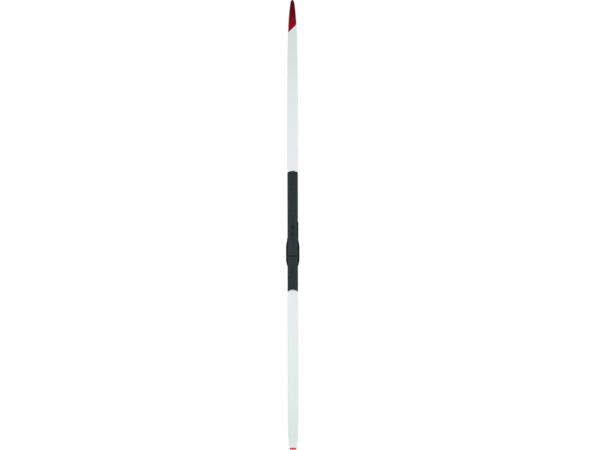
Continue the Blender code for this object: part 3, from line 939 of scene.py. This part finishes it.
def heel_support_body():
    """The tray under the plate at the heel, its wings ribbed on top for grip."""
    low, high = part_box("heel_support")[0].y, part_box("heel_support")[1].y
    reach = node_line("heel_support", widest)
    floor = node_line("heel_support", lowest)
    top = node_line("heel_support", highest)
    tray_low, tray_high = GAP, 0.9 * MM
    rib_pitch = 5 * MM
    rib_height = 0.5 * MM
    end_drop, end_run = 4.2 * MM, 16 * MM

    def section(y):
        outer = reach(y)
        inner = plate_half + GAP
        wing = outer - inner
        crest = 0.5 - 0.5 * math.cos(2 * math.pi * (y - low) / rib_pitch)
        crown = top(y) - end_drop * (1 - smooth_step(min(y - low, high - y) / end_run))
        dip = rib_height * crest**3 * smooth_step((wing - 2 * MM) / (2 * MM))
        sheet = top_height(y)
        soft = min(2.2 * MM, 0.45 * wing)
        lip = min(1.0 * MM, 0.25 * wing)
        right = [
            (inner, sheet + tray_low, 0.1 * MM),
            (inner, floor(y), 0.3 * MM),
            (outer, floor(y), soft),
            (outer, crown, soft),
            (inner + 0.3 * MM + 2 * lip, crown, 0.4 * MM),
            (inner + 0.3 * MM + lip, crown - dip, 0.4 * MM),
            (inner + 0.3 * MM, crown, 0.3 * MM),
            (inner + 0.3 * MM, sheet + tray_high, 0.1 * MM),
        ]
        return rounded(right + [(-x, z, r) for x, z, r in right[::-1]], 3)

    body = loft("heel_support_body", section, fine_places(low, high, 0.6 * MM))
    stand_for(body, "heel_support", FINISHES["black_plastic"])


def rack_insert():
    """The toothed rack in the pocket: sloped teeth and a raised bridge."""
    low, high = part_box("position_rack")
    pitch = 3.0 * MM
    valley, tooth, bridge = 2.2 * MM, 3.4 * MM, 5.3 * MM

    def section(y):
        phase = ((y - low.y) / pitch) % 1.0
        flank = smooth_step((0.5 - abs(phase - 0.5)) * 4 - 0.5)
        height = valley + (tooth - valley) * flank
        height += (bridge - height) * inside(y, BRIDGE_ENDS, 0.8 * MM)
        lift = top_height(y) + PLATE_LIFT
        half = high.x
        floor = POCKET_FLOOR + GAP
        corners = [(-half, floor + lift, 0.1 * MM), (half, floor + lift, 0.1 * MM)]
        corners += [(half, height + lift, 0.6 * MM), (-half, height + lift, 0.6 * MM)]
        return rounded(corners, 3)

    insert = loft("rack_insert", section, fine_places(low.y, high.y, 0.2 * MM))
    stand_for(insert, "position_rack", FINISHES["grey_plastic"])


def strip_body():
    """The strip clipped over the right flange, with a row of fine notches along its top."""
    low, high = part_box("position_strip")
    lip = plate_half + GAP
    pitch = 5 * MM
    notch = 0.25 * MM

    def section(y):
        lift = top_height(y) + PLATE_LIFT
        phase = ((y - low.y) / pitch) % 1.0
        top = lift + STRIP_TOP - notch * smooth_step(1 - 10 * abs(phase - 0.5))
        seat = lift + STRIP_SEAT + GAP
        corners = [(STRIP_INNER, seat, 0.1 * MM), (lip, seat, 0.1 * MM), (lip, lift, 0.15 * MM)]
        corners += [(high.x, lift, 0.3 * MM), (high.x, top, 0.7 * MM), (STRIP_INNER, top, 0.3 * MM)]
        return rounded(corners, 3)

    strip = loft("strip_body", section, fine_places(low.y, high.y, 0.25 * MM))
    stand_for(strip, "position_strip", FINISHES["black_plastic"])


# Stage


def make_floor():
    """A pale floor that glows, as a lit table does, so that shadows stay faint."""
    bpy.ops.mesh.primitive_plane_add(size=FLOOR_SIZE)
    floor = bpy.context.object
    floor.name = "studio_floor"
    finish = Finish("studio_floor", paint(137, 137, 137), 0.9, 0.0)
    finish.shader.inputs["Emission Color"].default_value = (1.0, 1.0, 1.0, 1.0)
    finish.shader.inputs["Emission Strength"].default_value = FLOOR_GLOW
    floor.data.materials.append(finish.material)
    floor.visible_diffuse = False


def make_sky():
    """A sky that is bright near the horizon and on the ski's long sides, and dark overhead.

    Below the horizon it stands for the light that the floor throws back on the ski.
    """
    world = bpy.data.worlds.new("studio")
    bpy.context.scene.world = world
    world.use_nodes = True
    tree = world.node_tree
    link = tree.links.new

    def fade(value, low, high, start, end):
        node = tree.nodes.new("ShaderNodeMapRange")
        node.interpolation_type = "SMOOTHSTEP"
        names = ("From Min", "From Max", "To Min", "To Max")
        for name, number in zip(names, (low, high, start, end)):
            node.inputs[name].default_value = number
        link(value, node.inputs["Value"])
        return node.outputs["Result"]

    where = tree.nodes.new("ShaderNodeTexCoord")
    split = tree.nodes.new("ShaderNodeSeparateXYZ")
    link(where.outputs["Generated"], split.inputs["Vector"])
    side = tree.nodes.new("ShaderNodeMath")
    side.operation = "ABSOLUTE"
    link(split.outputs["X"], side.inputs[0])
    brighter = tree.nodes.new("ShaderNodeMath")
    brighter.operation = "MAXIMUM"
    link(fade(side.outputs["Value"], *SKY_SIDES, *SKY_STRENGTH), brighter.inputs[0])
    link(fade(split.outputs["Z"], *SKY_HORIZON, *SKY_STRENGTH[::-1]), brighter.inputs[1])
    below = tree.nodes.new("ShaderNodeMath")
    below.operation = "LESS_THAN"
    below.inputs[1].default_value = BOUNCE_BELOW
    link(split.outputs["Z"], below.inputs[0])
    strength = tree.nodes.new("ShaderNodeMix")
    link(below.outputs["Value"], strength.inputs["Factor"])
    link(brighter.outputs["Value"], strength.inputs["A"])
    strength.inputs["B"].default_value = BOUNCE_STRENGTH
    background = tree.nodes["Background"]
    background.inputs["Color"].default_value = (1.0, 1.0, 1.0, 1.0)
    link(strength.outputs["Result"], background.inputs["Strength"])


def make_softboxes():
    """One softbox on each long side of the ski, aimed at its middle."""
    for name, x in (("left_softbox", -SOFTBOX_PLACE[0]), ("right_softbox", SOFTBOX_PLACE[0])):
        light = bpy.data.lights.new(name, "AREA")
        light.shape = "RECTANGLE"
        light.size, light.size_y = SOFTBOX_SIZE
        light.energy = SOFTBOX_POWER
        lamp = bpy.data.objects.new(name, light)
        bpy.context.scene.collection.objects.link(lamp)
        lamp.location = (x, 0.0, SOFTBOX_PLACE[1])
        lamp.rotation_euler = (-lamp.location).to_track_quat("-Z", "Y").to_euler()
        lamp.visible_camera = False


def make_camera():
    """Straight above the ski through a long lens, so that nearly no perspective shows."""
    data = bpy.data.cameras.new("camera")
    data.lens = LENS
    data.sensor_width = SENSOR_WIDTH
    data.clip_end = CLIP_END
    data.dof.use_dof = False
    camera = bpy.data.objects.new("camera", data)
    bpy.context.scene.collection.objects.link(camera)
    low, high = cad_box
    frame_width = (high.y - low.y) * FRAME_PER_SKI * IMAGE_SIZE[0] / IMAGE_SIZE[1]
    camera.location = (BESIDE_SKI, 0.0, LENS / SENSOR_WIDTH * frame_width)
    camera.rotation_euler = (0.0, 0.0, -SKI_LEAN)
    bpy.context.scene.camera = camera


# The whole scene

make_camera()
make_sky()
make_softboxes()
make_floor()
topsheet_shell()
tip_shell()
base_sheet()
tail_block()
front_plate_body()
rear_plate_body()
heel_support_body()
rack_insert()
strip_body()
for node, finish_name in SLOTS.items():
    cad_piece = frame["nodes"][node]
    cad_piece.data.materials.clear()
    cad_piece.data.materials.append(FINISHES[finish_name])

scene_view = bpy.context.scene.view_settings
scene_view.view_transform = "Standard"
scene_view.look = "None"
